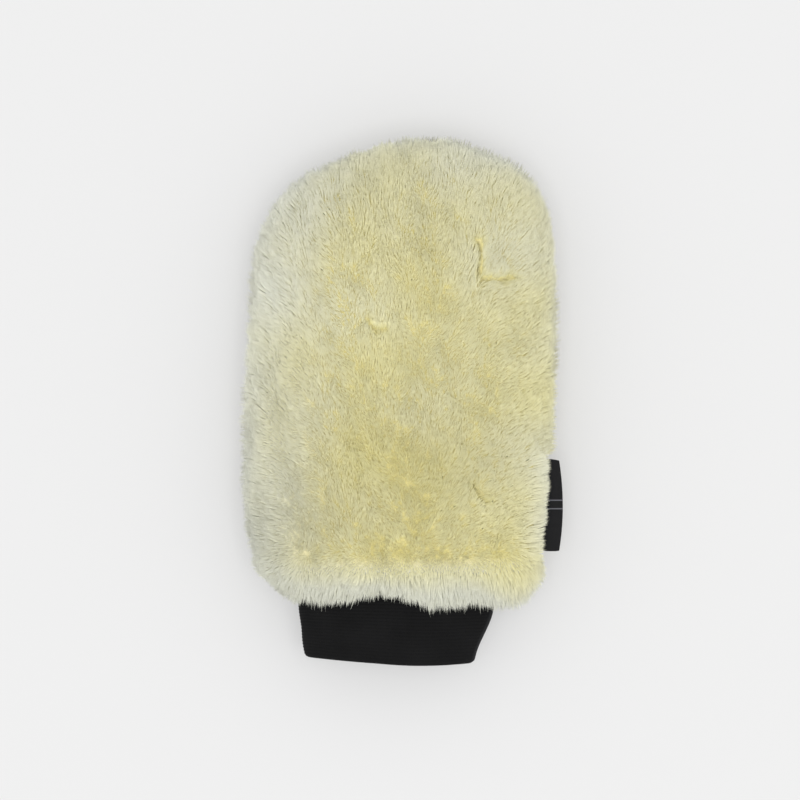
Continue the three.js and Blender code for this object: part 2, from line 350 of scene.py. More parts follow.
# ---------- mesh makers ----------
def added(name, points, faces, smooth=True):
    """An object from points and faces, with its faces turned outwards."""
    mesh = bpy.data.meshes.new(name)
    mesh.from_pydata(np.asarray(points, float).reshape(-1, 3).tolist(), [], faces)
    work = bmesh.new()
    work.from_mesh(mesh)
    bmesh.ops.recalc_face_normals(work, faces=work.faces)
    work.to_mesh(mesh)
    work.free()
    mesh.polygons.foreach_set("use_smooth", np.full(len(mesh.polygons), smooth))
    made = bpy.data.objects.new(name, mesh)
    bpy.context.scene.collection.objects.link(made)
    return made


def grid_faces(rows, columns, start=0, loop_rows=False, loop_columns=False):
    faces = []
    for i in range(rows if loop_rows else rows - 1):
        for j in range(columns if loop_columns else columns - 1):
            a, b = start + i * columns, start + (i + 1) % rows * columns
            k = (j + 1) % columns
            faces.append((a + j, b + j, b + k, a + k))
    return faces


def skin(name, grid, loop_rows=False, loop_columns=True):
    """A closed mesh over a grid of points whose columns go round; open row ends get caps."""
    rows, columns = grid.shape[:2]
    faces = grid_faces(rows, columns, 0, loop_rows, loop_columns)
    if not loop_rows:
        faces.append(tuple(range(columns)))
        faces.append(tuple(range((rows - 1) * columns, rows * columns)))
    return added(name, grid, faces)


def layer(name, outer, inner, side, rows, columns, edge=0.0008):
    """A closed sheet between two surfaces, over the upper (side 1) or the lower (side -1) half."""
    a = 1 - (1 - np.linspace(0, 1, rows)) ** 1.15
    b = np.linspace(edge, 0.5 - edge, columns) + (0 if side > 0 else 0.5)
    along, around = np.meshgrid(a, b, indexing="ij")
    grid = np.concatenate([outer(along, around).reshape(-1, 3), inner(along, around).reshape(-1, 3)])
    far = rows * columns
    faces = grid_faces(rows, columns) + grid_faces(rows, columns, far)
    rim = list(range(columns))
    rim += [i * columns + columns - 1 for i in range(1, rows)]
    rim += [(rows - 1) * columns + j for j in range(columns - 2, -1, -1)]
    rim += [i * columns for i in range(rows - 2, 0, -1)]
    for p, q in zip(rim, rim[1:] + rim[:1]):
        faces.append((p, q, far + q, far + p))
    return added(name, grid, faces)


def tube(name, path, radius, sides=6, closed=False):
    """A round thread along a path of points."""
    path = np.asarray(path, float)
    ahead = np.roll(path, -1, axis=0) - np.roll(path, 1, axis=0)
    if not closed:
        ahead[0] = path[1] - path[0]
        ahead[-1] = path[-1] - path[-2]
    ahead = unit(ahead)
    sideways = np.empty_like(path)
    last = unit(np.cross(ahead[0], (0.3, 0.5, 0.81)))
    for i, t in enumerate(ahead):
        last = last - t * (last @ t)
        last = last / max(np.linalg.norm(last), 1e-9)
        sideways[i] = last
    other = np.cross(ahead, sideways)
    angle = np.linspace(0, 2 * math.pi, sides, endpoint=False)[None, :, None]
    ring = path[:, None] + radius * (np.cos(angle) * sideways[:, None] + np.sin(angle) * other[:, None])
    return skin(name, ring, loop_rows=closed)


def overlock(name, line, out, up, radius, closed):
    """A thread wound round a line of points in stitches, as an overlock seam is."""
    line = np.asarray(line, float)
    if closed:
        line = np.concatenate([line, line[:1]])
        out = np.concatenate([out, out[:1]])
    run = np.concatenate([[0], np.cumsum(np.linalg.norm(np.diff(line, axis=0), axis=1))])
    stitches = max(3, round(run[-1] / STITCH))
    steps = stitches * 12
    at = np.linspace(0, run[-1], steps, endpoint=not closed)
    centre = np.stack([np.interp(at, run, line[:, k]) for k in range(3)], axis=1)
    away = unit(np.stack([np.interp(at, run, out[:, k]) for k in range(3)], axis=1))
    turn = 2 * math.pi * stitches * at / run[-1]
    path = centre + radius * (np.cos(turn)[:, None] * away + 0.8 * np.sin(turn)[:, None] * np.asarray(up))
    return tube(name, path, THREAD, 6, closed)


# ---------- materials ----------
class Paint:
    """A material and its nodes, with object coordinates at hand."""

    def __init__(self, name, roughness, sheen=0.0, specular=0.3):
        self.material = bpy.data.materials.new(name)
        self.material.use_nodes = True
        self.nodes = self.material.node_tree.nodes
        self.links = self.material.node_tree.links
        self.shader = self.nodes["Principled BSDF"]
        self.shader.inputs["Roughness"].default_value = roughness
        self.shader.inputs["Sheen Weight"].default_value = sheen
        self.shader.inputs["Specular IOR Level"].default_value = specular
        self.place = self.nodes.new("ShaderNodeTexCoord").outputs["Object"]

    def number(self, name):
        """A value kept on the mesh's points."""
        node = self.nodes.new("ShaderNodeAttribute")
        node.attribute_name = name
        return node.outputs["Fac"]

    def noise(self, size, detail=2.0):
        node = self.nodes.new("ShaderNodeTexNoise")
        node.inputs["Scale"].default_value = 1 / size
        node.inputs["Detail"].default_value = detail
        self.links.new(self.place, node.inputs["Vector"])
        return node.outputs["Fac"]

    def bands(self, pitch, direction, distortion=0.0):
        node = self.nodes.new("ShaderNodeTexWave")
        node.bands_direction = direction
        node.inputs["Scale"].default_value = 2 * math.pi / pitch / 20
        node.inputs["Distortion"].default_value = distortion
        self.links.new(self.place, node.inputs["Vector"])
        return node.outputs["Fac"]

    def math(self, operation, a, b):
        node = self.nodes.new("ShaderNodeMath")
        node.operation = operation
        for socket, value in zip(node.inputs, (a, b)):
            if isinstance(value, (int, float)):
                socket.default_value = value
            else:
                self.links.new(value, socket)
        return node.outputs[0]

    def ramp(self, factor, *stops):
        node = self.nodes.new("ShaderNodeValToRGB")
        elements = node.color_ramp.elements
        while len(elements) < len(stops):
            elements.new(0.5)
        for element, (where, colour) in zip(elements, stops):
            element.position = where
            element.color = (*colour, 1)
        self.links.new(factor, node.inputs["Fac"])
        return node.outputs["Color"]

    def mix(self, factor, a, b):
        node = self.nodes.new("ShaderNodeMix")
        node.data_type = "RGBA"
        self.links.new(factor, node.inputs["Factor"])
        for name, value in (("A", a), ("B", b)):
            socket = [s for s in node.inputs if s.name == name and s.type == "RGBA"][0]
            if isinstance(value, tuple):
                socket.default_value = (*value, 1)
            else:
                self.links.new(value, socket)
        return [s for s in node.outputs if s.type == "RGBA"][0]

    def brighter(self, colour, by):
        node = self.nodes.new("ShaderNodeHueSaturation")
        self.links.new(by, node.inputs["Value"])
        self.links.new(colour, node.inputs["Color"])
        return node.outputs["Color"]

    def colour(self, colour):
        self.links.new(colour, self.shader.inputs["Base Color"])

    def bump(self, height, depth, strength=1.0):
        node = self.nodes.new("ShaderNodeBump")
        node.inputs["Distance"].default_value = depth
        node.inputs["Strength"].default_value = strength
        self.links.new(height, node.inputs["Height"])
        self.links.new(node.outputs["Normal"], self.shader.inputs["Normal"])


YELLOW_ROOT, YELLOW, YELLOW_TIP = (0.83, 0.745, 0.30), (0.86, 0.795, 0.37), (0.885, 0.84, 0.46)
WHITE_ROOT, WHITE, WHITE_TIP = (0.81, 0.79, 0.55), (0.83, 0.83, 0.66), (0.85, 0.86, 0.75)
WOOL_LOW, WOOL_HIGH = (0.70, 0.625, 0.27), (0.80, 0.725, 0.37)
WOOL_WHITE = (0.72, 0.71, 0.58)
CREAM_LOW, CREAM_HIGH = (0.46, 0.42, 0.30), (0.66, 0.62, 0.48)
BACKING_LOW, BACKING_HIGH = (0.40, 0.37, 0.24), (0.66, 0.62, 0.46)
LINING_LOW, LINING_HIGH = (0.52, 0.51, 0.47), (0.66, 0.65, 0.60)
CUFF_BLACK, CUFF_WORN = (0.0042, 0.0042, 0.0044), (0.0085, 0.0085, 0.0088)
STRIP_BLACK_AND_HIGHLIGHT = (0.016, 0.016, 0.017)  # the plain strip along the cuff's right edge, painted a little lighter than its ribs as a painted highlight where the cuff turns
LABEL_BLACK, LABEL_SHINE = (0.0042, 0.0042, 0.0046), (0.0100, 0.0100, 0.0112)
LABEL_LINE = (0.11, 0.11, 0.125)
THREAD_LOW, THREAD_HIGH = (0.006, 0.006, 0.006), (0.02, 0.02, 0.02)


def yarn_paint():
    paint = Paint("pile_yarn", 0.6, 0.2)
    along = paint.number("along")
    yellow = paint.ramp(along, (0, YELLOW_ROOT), (0.6, YELLOW), (1, YELLOW_TIP))
    white = paint.ramp(along, (0, WHITE_ROOT), (0.6, WHITE), (1, WHITE_TIP))
    colour = paint.mix(paint.number("pale"), yellow, white)
    # the yarn's painted light and shade and its random tone make its colour lighter or darker
    paint.colour(paint.brighter(colour, paint.number("painted_light_and_tone")))
    return paint.material


def wool_paint():
    paint = Paint("pile_wool", 0.8, 0.2)
    fine = paint.noise(1.1 * MM)
    yellow = paint.ramp(fine, (0.2, WOOL_LOW), (0.8, WOOL_HIGH))
    colour = paint.mix(paint.number("pale"), yellow, WOOL_WHITE)
    paint.colour(paint.brighter(colour, paint.number("shade")))
    paint.bump(fine, 0.4 * MM)
    return paint.material


def knit_paint(name, low, high, pitch):
    """A fine weft knit: columns of stitches along Y with small rows across them."""
    paint = Paint(name, 0.85, 0.15)
    stitches = paint.math(
        "MULTIPLY", paint.bands(pitch, "X", 0.6), paint.bands(0.8 * pitch, "Y", 0.4)
    )
    uneven = paint.noise(9 * MM, 3.0)
    height = paint.math("ADD", stitches, paint.math("MULTIPLY", uneven, 0.3))
    paint.colour(paint.ramp(height, (0.0, low), (1.0, high)))
    paint.bump(stitches, 0.15 * MM, 0.7)
    return paint.material


def cuff_paint():
    paint = Paint("cuff_knit", 0.9, 0.03, 0.1)
    loops = paint.math("MULTIPLY", paint.bands(0.9 * MM, "X", 0.5), paint.bands(0.9 * MM, "Y", 0.3))
    fuzz = paint.noise(0.6 * MM, 3.0)
    worn = paint.noise(14 * MM, 2.0)
    mixed = paint.math("ADD", paint.math("MULTIPLY", fuzz, 0.6), paint.math("MULTIPLY", worn, 0.4))
    ground = paint.ramp(mixed, (0.3, CUFF_BLACK), (0.75, CUFF_WORN))
    # painted highlight: the plain strip along the cuff's right edge is painted lighter, where the
    # flattened cuff turns
    strip = paint.math("MULTIPLY", paint.number("strip"), 0.7)
    paint.colour(paint.mix(strip, ground, STRIP_BLACK_AND_HIGHLIGHT))
    paint.bump(paint.math("ADD", loops, paint.math("MULTIPLY", fuzz, 0.5)), 0.12 * MM, 0.6)
    return paint.material


def thread_paint(name, low, high):
    paint = Paint(name, 0.5, 0.2, 0.4)
    twist = paint.noise(0.5 * MM, 1.0)
    paint.colour(paint.ramp(twist, (0.3, low), (0.7, high)))
    return paint.material


def label_paint():
    """A woven satin tape with two plain pale lines across it."""
    paint = Paint("label_satin", 0.6, 0.02, 0.12)
    weave = paint.math("MULTIPLY", paint.bands(0.5 * MM, "X"), paint.bands(0.36 * MM, "Y"))
    ground = paint.ramp(
        paint.math("ADD", weave, paint.math("MULTIPLY", paint.noise(3 * MM), 0.6)),
        (0.1, LABEL_BLACK),
        (1.0, LABEL_SHINE),
    )
    split = paint.nodes.new("ShaderNodeSeparateXYZ")
    paint.links.new(paint.place, split.inputs[0])
    lines = [paint.nodes.new("ShaderNodeMath") for _ in range(2)]
    for node, offset in zip(lines, (-LABEL_LINES_APART / 2, LABEL_LINES_APART / 2)):
        node.operation = "COMPARE"
        node.inputs[1].default_value = LABEL_MIDDLE_Y + offset
        node.inputs[2].default_value = 0.3 * MM
        paint.links.new(split.outputs["Y"], node.inputs[0])
    marked = paint.math("MAXIMUM", lines[0].outputs[0], lines[1].outputs[0])
    paint.colour(paint.mix(marked, ground, LABEL_LINE))
    paint.bump(weave, 0.06 * MM, 0.6)
    return paint.material


YARN_PAINT = yarn_paint()
WOOL_PAINT = wool_paint()
BACKING_PAINT = knit_paint("backing_knit", BACKING_LOW, BACKING_HIGH, 1.4 * MM)
LINING_PAINT = knit_paint("lining_knit", LINING_LOW, LINING_HIGH, 0.8 * MM)
CUFF_PAINT = cuff_paint()
CREAM_THREAD = thread_paint("cream_thread", CREAM_LOW, CREAM_HIGH)
BLACK_THREAD = thread_paint("black_thread", THREAD_LOW, THREAD_HIGH)
LABEL_PAINT = label_paint()


def settle(made, paint, node, body="bag"):
    """Gives a piece its material and hides the CAD node that it stands for; it hangs the piece from the
    empty of the body it moves with, but a piece of the bend is only baked in place.
    """
    made.data.materials.clear()
    made.data.materials.append(paint)
    if body == "bend":
        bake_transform(made)
    else:
        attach(made, body)
    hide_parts(node)


# ---------- pile ----------
def scatter(surface, count, around_from):
    """Places on half a surface, spread evenly by its area: along and around."""
    rows, columns = 130, 1500
    along = (np.arange(rows) + 0.5) / rows
    around = around_from + (np.arange(columns) + 0.5) / columns * 0.5
    a, b = np.meshgrid(along, around, indexing="ij")
    e, f = 0.5 / rows, 0.25 / columns
    du = surface.at(np.clip(a + e, 0, 1), b) - surface.at(np.clip(a - e, 0, 1), b)
    dv = surface.at(a, b + f) - surface.at(a, b - f)
    total = np.cumsum(np.linalg.norm(np.cross(du, dv), axis=-1).ravel())
    steps = (np.arange(count) + random.uniform(0, 1, count)) / count * total[-1]
    row, column = np.divmod(np.searchsorted(total, steps), columns)
    along = (row + random.uniform(0, 1, count)) / rows
    around = around_from + (column + random.uniform(0, 1, count)) / columns * 0.5
    return along, around


def nearest(points, centres):
    """For each point, which of the centres is closest."""
    tree = KDTree(len(centres))
    for i, p in enumerate(centres):
        tree.insert(p, i)
    tree.balance()
    return np.array([tree.find(p)[1] for p in points])


def gathered(strands, share, strength, spread):
    """Strands drawn towards the nearest of a share of them, more and more towards their tips."""
    leaders = random.choice(len(strands), max(1, int(len(strands) * share)), replace=False)
    own = leaders[nearest(strands[:, 0] * GRAIN, strands[leaders, 0] * GRAIN)]
    pull = strength[:, None, None] * STATIONS[None, :, None] ** 1.4
    target = strands[own] + spread * (strands[:, :1] - strands[own, :1])
    return strands + pull * (target - strands)


# where the fringe hangs lower or higher over the cuff, in mm: x, reach and by how much
HEM_WAVES = [(-11, 15, 4.5), (20, 15, -3.4), (58, 11, -3.2)]


def hem_line(x):
    """How far the fringe hangs down over the cuff, for each x."""
    y = HEM_Y
    for middle, reach, by in HEM_WAVES:
        y = y + by * MM * np.exp(-(((x - middle * MM) / (reach * MM)) ** 2))
    left = np.clip((-53 * MM - x) / (16 * MM), 0, 1.6)
    right = np.clip((x - 64 * MM) / (9 * MM), 0, 1.6)
    return y + 8 * MM * left**1.3 + 5 * MM * right**1.5


def hemmed(strands, along):
    """Yarn ends near the mouth, stretched or shortened to the hem's line."""
    corner = np.clip((np.abs(strands[:, 0, 0] + 2 * MM) - 40 * MM) / (20 * MM), 0, 1)
    near = np.clip((HEM_SHARE + 0.05 * corner - along) / 0.15, 0, 1)
    near = near * near * (3 - 2 * near)
    line = hem_line(strands[:, -1, 0]) + 1.1 * MM * random.normal(size=len(strands))
    line += 1.0 * MM * waves(strands[:, 0], [9 * MM, 5 * MM, 3 * MM], 41)[:, 1]
    share = np.clip(along / HEM_SHARE, 0, 1)
    goal = line + 12 * MM * share**2
    move = near * (goal - strands[:, -1, 1])
    strands[..., 1] += move[:, None] * STATIONS[None, :] ** 1.2
    aside = near[:, None] * 0.8 * MM * random.normal(size=(len(strands), 1))
    strands[..., 0] += aside * STATIONS[None, :]
    return strands


def cleared(strands, side):
    """Yarn ends kept off the cuff, the label and the surface that the mitt lies on."""
    x, y = strands[..., 0], strands[..., 1]
    height = strands[..., 2] - SEAM_Z
    q = np.clip(np.abs(x - CUFF_MIDDLE_X) / CUFF_KEPT_WIDE, 0, 1)
    cuff_top = CUFF_KEPT_HIGH * (1 - q**SECTION_POWER) ** (1 / SECTION_POWER) + 0.5 * MM
    over_cuff = (y < CUFF_ROOT_Y) & (q < 1)
    height = np.where(over_cuff & (side * height < cuff_top), side * cuff_top, height)
    label = LABEL_ROOM + LABEL_SLOPE * np.maximum(x - LABEL_LOW.x, 0)
    at_label = (x > LABEL_LOW.x - 1 * MM) & (y > LABEL_LOW.y - 6 * MM) & (y < LABEL_HIGH.y + 6 * MM)
    height = np.where(at_label & (side * height < label), side * label, height)
    rise = random.uniform(0, 2.5 * MM, len(strands))[:, None]
    z = SEAM_Z + height
    strands[..., 2] = np.where(z < FLOOR_GAP, FLOOR_GAP + rise, z)
    return strands


def beside_label(root, around):
    """1 where the upper pile hangs over the label's root, and 0 away from it."""
    level = np.exp(-(((root[:, 1] - LABEL_MIDDLE_Y) / (26 * MM)) ** 8))
    return level * np.exp(-(((from_seam(around) - 0.045) / 0.035) ** 2))


def leaning(root, normal, over, side):
    """Which way each yarn end leans along the surface, and how close it is to a parting."""
    count = len(root)
    turned = (root[:, 1] - LAY_TURNS_Y) / (9 * MM) + 0.5 * waves(root, [14 * MM], 6)[:, 0]
    turned = np.clip(turned, -1, 1)
    lay = np.stack([root[:, 0] / LAY_FAN, turned, np.zeros(count)], axis=1)
    lean = LAY * lay + LEANS_WIDE * waves(root * GRAIN, [42 * MM, 26 * MM, 16 * MM], 3)
    lean += LEANS_SMALL * waves(root * GRAIN, [8 * MM, 5 * MM], 4)
    lean += random.normal(0, 1, root.shape) * (LEAN_LOOSE - 0.12 * np.abs(turned))[:, None]
    at_seam = 1 - np.abs(normal[:, 2])
    lean[:, 2] += 0.8 * at_seam**3 * random.normal(size=count)
    close = np.zeros(count)
    if side > 0:
        away, close = parting(root)
        lean += LEAN_AT_PARTING * away
        lean += LEAN_OVER_LABEL * over[:, None] * np.array([1.0, 0.0, -0.25])
    lean -= normal * (lean * normal).sum(1, keepdims=True)
    return lean, close


def outward(root):
    """The direction away from the middle of the mitt, longer towards its rim."""
    flat = root - np.array([0, 0.012, 0])
    flat[:, 2] = 0
    return unit(flat) * np.linalg.norm(flat / np.array([0.07, 0.11, 1]), axis=1, keepdims=True)


def colouring(root, normal, hem, over, close):
    """How pale each yarn end is, and how light: its lightness is a small random tone with painted shade
    in the partings and along the hem, and painted light and shade in patches.
    """
    cloud = waves(root * GRAIN, [70 * MM, 45 * MM, 22 * MM], 8)[:, 0]
    left = np.clip((-22 * MM - root[:, 0]) / (48 * MM), 0, 1)
    # paler on the mitt's sides and along the fringe: partly painted light, for light scattered through
    # the thin yarn ends there, partly the pile's own paler colour
    pale = 0.26 + 0.24 * cloud + 0.35 * (1 - np.abs(normal[:, 2])) + 0.4 * hem - 0.5 * close
    low = np.clip((-80 * MM - root[:, 1]) / (14 * MM), 0, 1)
    top = np.clip((root[:, 1] - 50 * MM) / (70 * MM), 0, 1)
    pale += 0.62 * left + 0.2 * top + 0.35 * over + 0.55 * low
    # painted shade: darker in the partings' grooves and along the hem over the cuff, where the pile lies
    # in shade; the rest is a small random tone
    painted_light_and_tone = 1 - 0.22 * close**2 - 0.15 * hem + 0.02 * random.normal(size=len(root))
    # painted light and shade in patches over the pile
    for x, y, reach, by in PAINTED_LIGHT_AND_SHADE:
        painted_light_and_tone += by * spot(root, x, y, reach)
    for x, y, reach, by in PALENESS:
        pale += by * spot(root, x, y, reach)
    return np.clip(pale, 0, 1), painted_light_and_tone


def grown(count, side):
    """Yarn ends over the upper or lower wool: points, normals, how pale and how light they are."""
    along, around = scatter(wool, count, 0 if side > 0 else 0.5)
    at_seam = np.cos(2 * math.pi * around) ** 4
    around += 0.006 * at_seam * random.normal(size=count)
    normal = shell.normal(along, around)
    root = wool.at(along, around) - normal * ROOT_DEPTH
    over = beside_label(root, around) if side > 0 else np.zeros(count)
    lean, close = leaning(root, normal, over, side)
    out = outward(root)
    lean += 0.07 * out
    start = unit(normal + 0.5 * lean)
    if side < 0:
        start = unit(start + out * 0.6)
        lean = lean + out * 0.5
    length = YARN_END * (1 + 0.06 * random.normal(size=count))
    length *= 1 + 0.07 * waves(root, [11 * MM, 6 * MM], 5)[:, 0]
    s = STATIONS[None, :, None]
    strands = root[:, None] + length[:, None, None] * (s * start[:, None] + 0.5 * s**2 * lean[:, None])
    hem = np.clip((0.15 - along) / 0.1, 0, 1)
    for share, loss, spread in TUFTS:
        strands = gathered(strands, share, TUFT_PULL * (1 - loss * hem), spread)
    strands = cleared(hemmed(strands, along), side)
    pale, painted_light_and_tone = colouring(root, normal, hem, over, close)
    return strands, unit(normal + np.array([0, 0, 0.5])), pale, painted_light_and_tone


def yarn_mesh(name, strands, normals, pale, painted_lights_and_tones):
    """Every yarn end is a tapered three-sided body, closed at its root and pointed at its tip."""
    count, stations = strands.shape[:2]
    rings = stations - 1  # the last station is the tip
    heading = np.empty_like(strands)
    heading[:, 1:-1] = strands[:, 2:] - strands[:, :-2]
    heading[:, 0] = strands[:, 1] - strands[:, 0]
    heading[:, -1] = strands[:, -1] - strands[:, -2]
    heading = unit(heading)
    first = unit(np.cross(heading, random.normal(size=(count, 1, 3))))
    second = np.cross(heading, first)
    width = WIDTHS[None, :, None] * random.uniform(0.8, 1.2, (count, 1, 1))
    corners, arms = [], []
    for k in range(3):
        angle = 2 * math.pi * k / 3
        arm = math.cos(angle) * first[:, :rings] + math.sin(angle) * second[:, :rings]
        corners.append(strands[:, :rings] + 0.5 * width * arm)
        arms.append(arm)
    per = rings * 3 + 1
    body = np.stack(corners, axis=2).reshape(count, rings * 3, 3)
    points = np.concatenate([body, strands[:, -1:]], axis=1)
    arms = np.stack(arms, axis=2).reshape(count, rings * 3, 3)
    arms = np.concatenate([arms, heading[:, -1:]], axis=1)
    quads = []
    tris = [[2, 1, 0]]
    for r in range(rings - 1):
        for k in range(3):
            a, b = 3 * r + k, 3 * r + (k + 1) % 3
            quads.append([a, b, b + 3, a + 3])
    for k in range(3):
        tris.append([3 * (rings - 1) + k, 3 * (rings - 1) + (k + 1) % 3, per - 1])
    offset = (np.arange(count) * per)[:, None]
    own_loops = np.concatenate([np.ravel(quads), np.ravel(tris)])
    loops = (own_loops[None] + offset).ravel()
    sizes = np.tile([4] * len(quads) + [3] * len(tris), count)
    mesh = bpy.data.meshes.new(name)
    mesh.vertices.add(count * per)
    mesh.vertices.foreach_set("co", points.astype(np.float32).ravel())
    mesh.loops.add(len(loops))
    mesh.loops.foreach_set("vertex_index", loops.astype(np.int32))
    mesh.polygons.add(len(sizes))
    starts = np.concatenate([[0], np.cumsum(sizes)[:-1]])
    mesh.polygons.foreach_set("loop_start", starts.astype(np.int32))
    mesh.update(calc_edges=True)
    mesh.polygons.foreach_set("use_smooth", np.ones(len(sizes), bool))
    soft = unit(SOFTNESS * normals[:, None] + (1 - SOFTNESS) * arms)
    mesh.normals_split_custom_set_from_vertices(soft.reshape(-1, 3))
    shade = np.concatenate([np.repeat(STATIONS[:rings], 3), [1.0]])
    for attribute, values in (
        ("along", np.tile(shade, count)),
        ("painted_light_and_tone", np.repeat(painted_lights_and_tones, per)),
        ("pale", np.repeat(pale, per)),
    ):
        own = mesh.attributes.new(attribute, "FLOAT", "POINT")
        own.data.foreach_set("value", values.astype(np.float32))
    cells = math.ceil(math.sqrt(count))
    across = np.array([(0.2, 0.5, 0.8)[k % 3] for k in range(per - 1)] + [0.5])
    up = 0.12 + 0.76 * shade
    row, column = np.divmod(np.arange(count), cells)
    u = (column[:, None] + across[own_loops][None]) / cells
    v = (row[:, None] + up[own_loops][None]) / cells
    layer_uv = mesh.uv_layers.new(name="OFBake")
    layer_uv.data.foreach_set("uv", np.stack([u, v], axis=-1).astype(np.float32).ravel())
    made = bpy.data.objects.new(name, mesh)
    bpy.context.scene.collection.objects.link(made)
    return made


def pile(side, count):
    """The wool and the yarn ends of the upper (side 1) or the lower (side -1) face."""
    name = "upper_pile" if side > 0 else "lower_pile"
    mass = layer(f"{name}_wool", wool.tufted, wool.inside, side, 170, 170, 0.00008)
    points = np.array([v.co for v in mass.data.vertices])
    # painted shade on the wool: darker in the partings' grooves and where the lay turns, for the shadow
    # that the yarn ends cast on it
    shade = 1 - 0.55 * parting(points)[1] ** 1.5 * (side > 0)
    shade *= 1 - 0.08 * np.exp(-(((points[:, 1] - LAY_TURNS_Y) / (9 * MM)) ** 2))
    at_mouth = np.clip((CUFF_ROOT_Y + 14 * MM - points[:, 1]) / (8 * MM), 0, 1)
    at_left = np.clip((-36 * MM - points[:, 0]) / (28 * MM), 0, 1)
    pale = np.maximum(at_mouth, 0.9 * at_left)
    for attribute, values in (("shade", shade), ("pale", pale)):
        own = mass.data.attributes.new(attribute, "FLOAT", "POINT")
        own.data.foreach_set("value", values.astype(np.float32))
    settle(mass, WOOL_PAINT, name)
    strands, normals, pale, painted_lights_and_tones = grown(count, side)
    over = strands[..., 1].min(axis=1) < CUFF_ROOT_Y
    for part, body, kind in ((over, "bend", "hem"), (~over, "bag", "yarns")):
        order = np.flatnonzero(part)
        order = order[np.argsort(strands[order, 0, 1])]
        for i, own in enumerate(np.array_split(order, math.ceil(len(order) / YARNS_PER_PIECE))):
            made = yarn_mesh(
                f"{name}_{kind}_{i + 1}", strands[own], normals[own], pale[own], painted_lights_and_tones[own]
            )
            settle(made, YARN_PAINT, name, body)


# ---------- backing and lining ----------
def sheet_surface(base, depth, wrinkle, seed):
    """A surface inside a sleeve, with soft wrinkles that die out at its seams and its mouth."""
    def place(along, around):
        flat = base.lifted(along, around, np.full_like(along, -depth))
        if wrinkle:
            free = np.abs(np.sin(2 * math.pi * around)) * np.clip(along / 0.25, 0, 1)
            free = free * np.clip((1 - along) / 0.15, 0, 1)
            folds = waves(flat, [34 * MM, 21 * MM, 13 * MM], seed)[..., 1]
            flat = flat + base.normal(along, around) * (wrinkle * folds * free)[..., None]
        return flat
    return place


def cloths():
    """The knit that holds the pile and the pocket's lining, an upper and a lower half of each."""
    for side, half in ((1, "upper"), (-1, "lower")):
        outer = sheet_surface(shell, 0, 0, 0)
        inner = sheet_surface(shell, BACKING, 0, 0)
        made = layer(f"{half}_backing_knit", outer, inner, side, 90, 90)
        settle(made, BACKING_PAINT, f"{half}_backing")
        outer = sheet_surface(lining, 0.9 * MM, 0.5 * MM, 30 + side)
        inner = sheet_surface(lining, 0.9 * MM + LINING, 0.5 * MM, 30 + side)
        made = layer(f"{half}_lining_cloth", outer, inner, side, 120, 120)
        settle(made, LINING_PAINT, f"{half}_lining")


def rim_of(base, along_from, reach, rows=70):
    """The seam's line round a sleeve, from the right of the mouth over the fingertips to the left."""
    along = np.linspace(along_from, 1, rows)
    right = base.at(along, np.zeros(rows))
    left = base.at(along[::-1], np.full(rows, 0.5))
    line = np.concatenate([right, left])
    right = base.normal(along, np.zeros(rows))
    left = base.normal(along[::-1], np.full(rows, 0.5))
    out = np.concatenate([right, left])
    out[:, 2] = 0
    return line + reach * unit(out), unit(out)


def seams():
    line, out = rim_of(shell, 0.2, 0.9 * MM)
    made = overlock("side_seam_overlock", line, out, (0, 0, 1), 0.75 * MM, False)
    settle(made, CREAM_THREAD, "side_seam_thread")
    line, out = rim_of(lining, 0.2, 0.4 * MM)
    made = overlock("lining_seam_overlock", line, out, (0, 0, 1), 0.6 * MM, False)
    settle(made, CREAM_THREAD, "lining_seam_thread")


# ---------- cuff ----------
def cuff_at(share, around, depth):
    """A place on the cuff: share 0 at its root, 1 at its open end; depth is inwards from its face."""
    knots = np.linspace(0, 1, len(CUFF_LEFT))
    fine = np.linspace(0, 1, 60)
    left, right, up = [
        np.interp(share, fine, smoothed(np.interp(fine, knots, values), 30))
        for values in (CUFF_LEFT, CUFF_RIGHT, CUFF_UP)
    ]
    corner = 0.9 * MM * np.clip((share - 0.94) / 0.06, 0, 1) ** 2
    left, right = left + corner, right - corner

    def outline(where):
        return np.stack(superellipse(where, left, right, up, up), axis=-1)

    e = 0.002
    run = outline(around + e) - outline(around - e)
    inwards = unit(np.stack([-run[..., 1], run[..., 0]], axis=-1))
    flat = outline(around) + inwards * np.asarray(depth)[..., None]
    x, z = flat[..., 0], flat[..., 1]
    rise = np.where(x < CUFF_SAG_X, CUFF_RISE_LEFT, CUFF_RISE_RIGHT)
    end = CUFF_END_Y + rise * (np.hypot(x - CUFF_SAG_X, CUFF_SAG_ROUND) - CUFF_SAG_ROUND)
    y = CUFF_ROOT_Y + share * (end - CUFF_ROOT_Y)
    return np.stack([x, y, z], axis=-1)


def side_strip(around):
    """1 on the plain strip along the cuff's closing seam, at its right, and 0 elsewhere; the cuff's paint
    puts a painted highlight there.
    """
    return np.clip((0.052 - from_seam(around)) / 0.008, 0, 1)


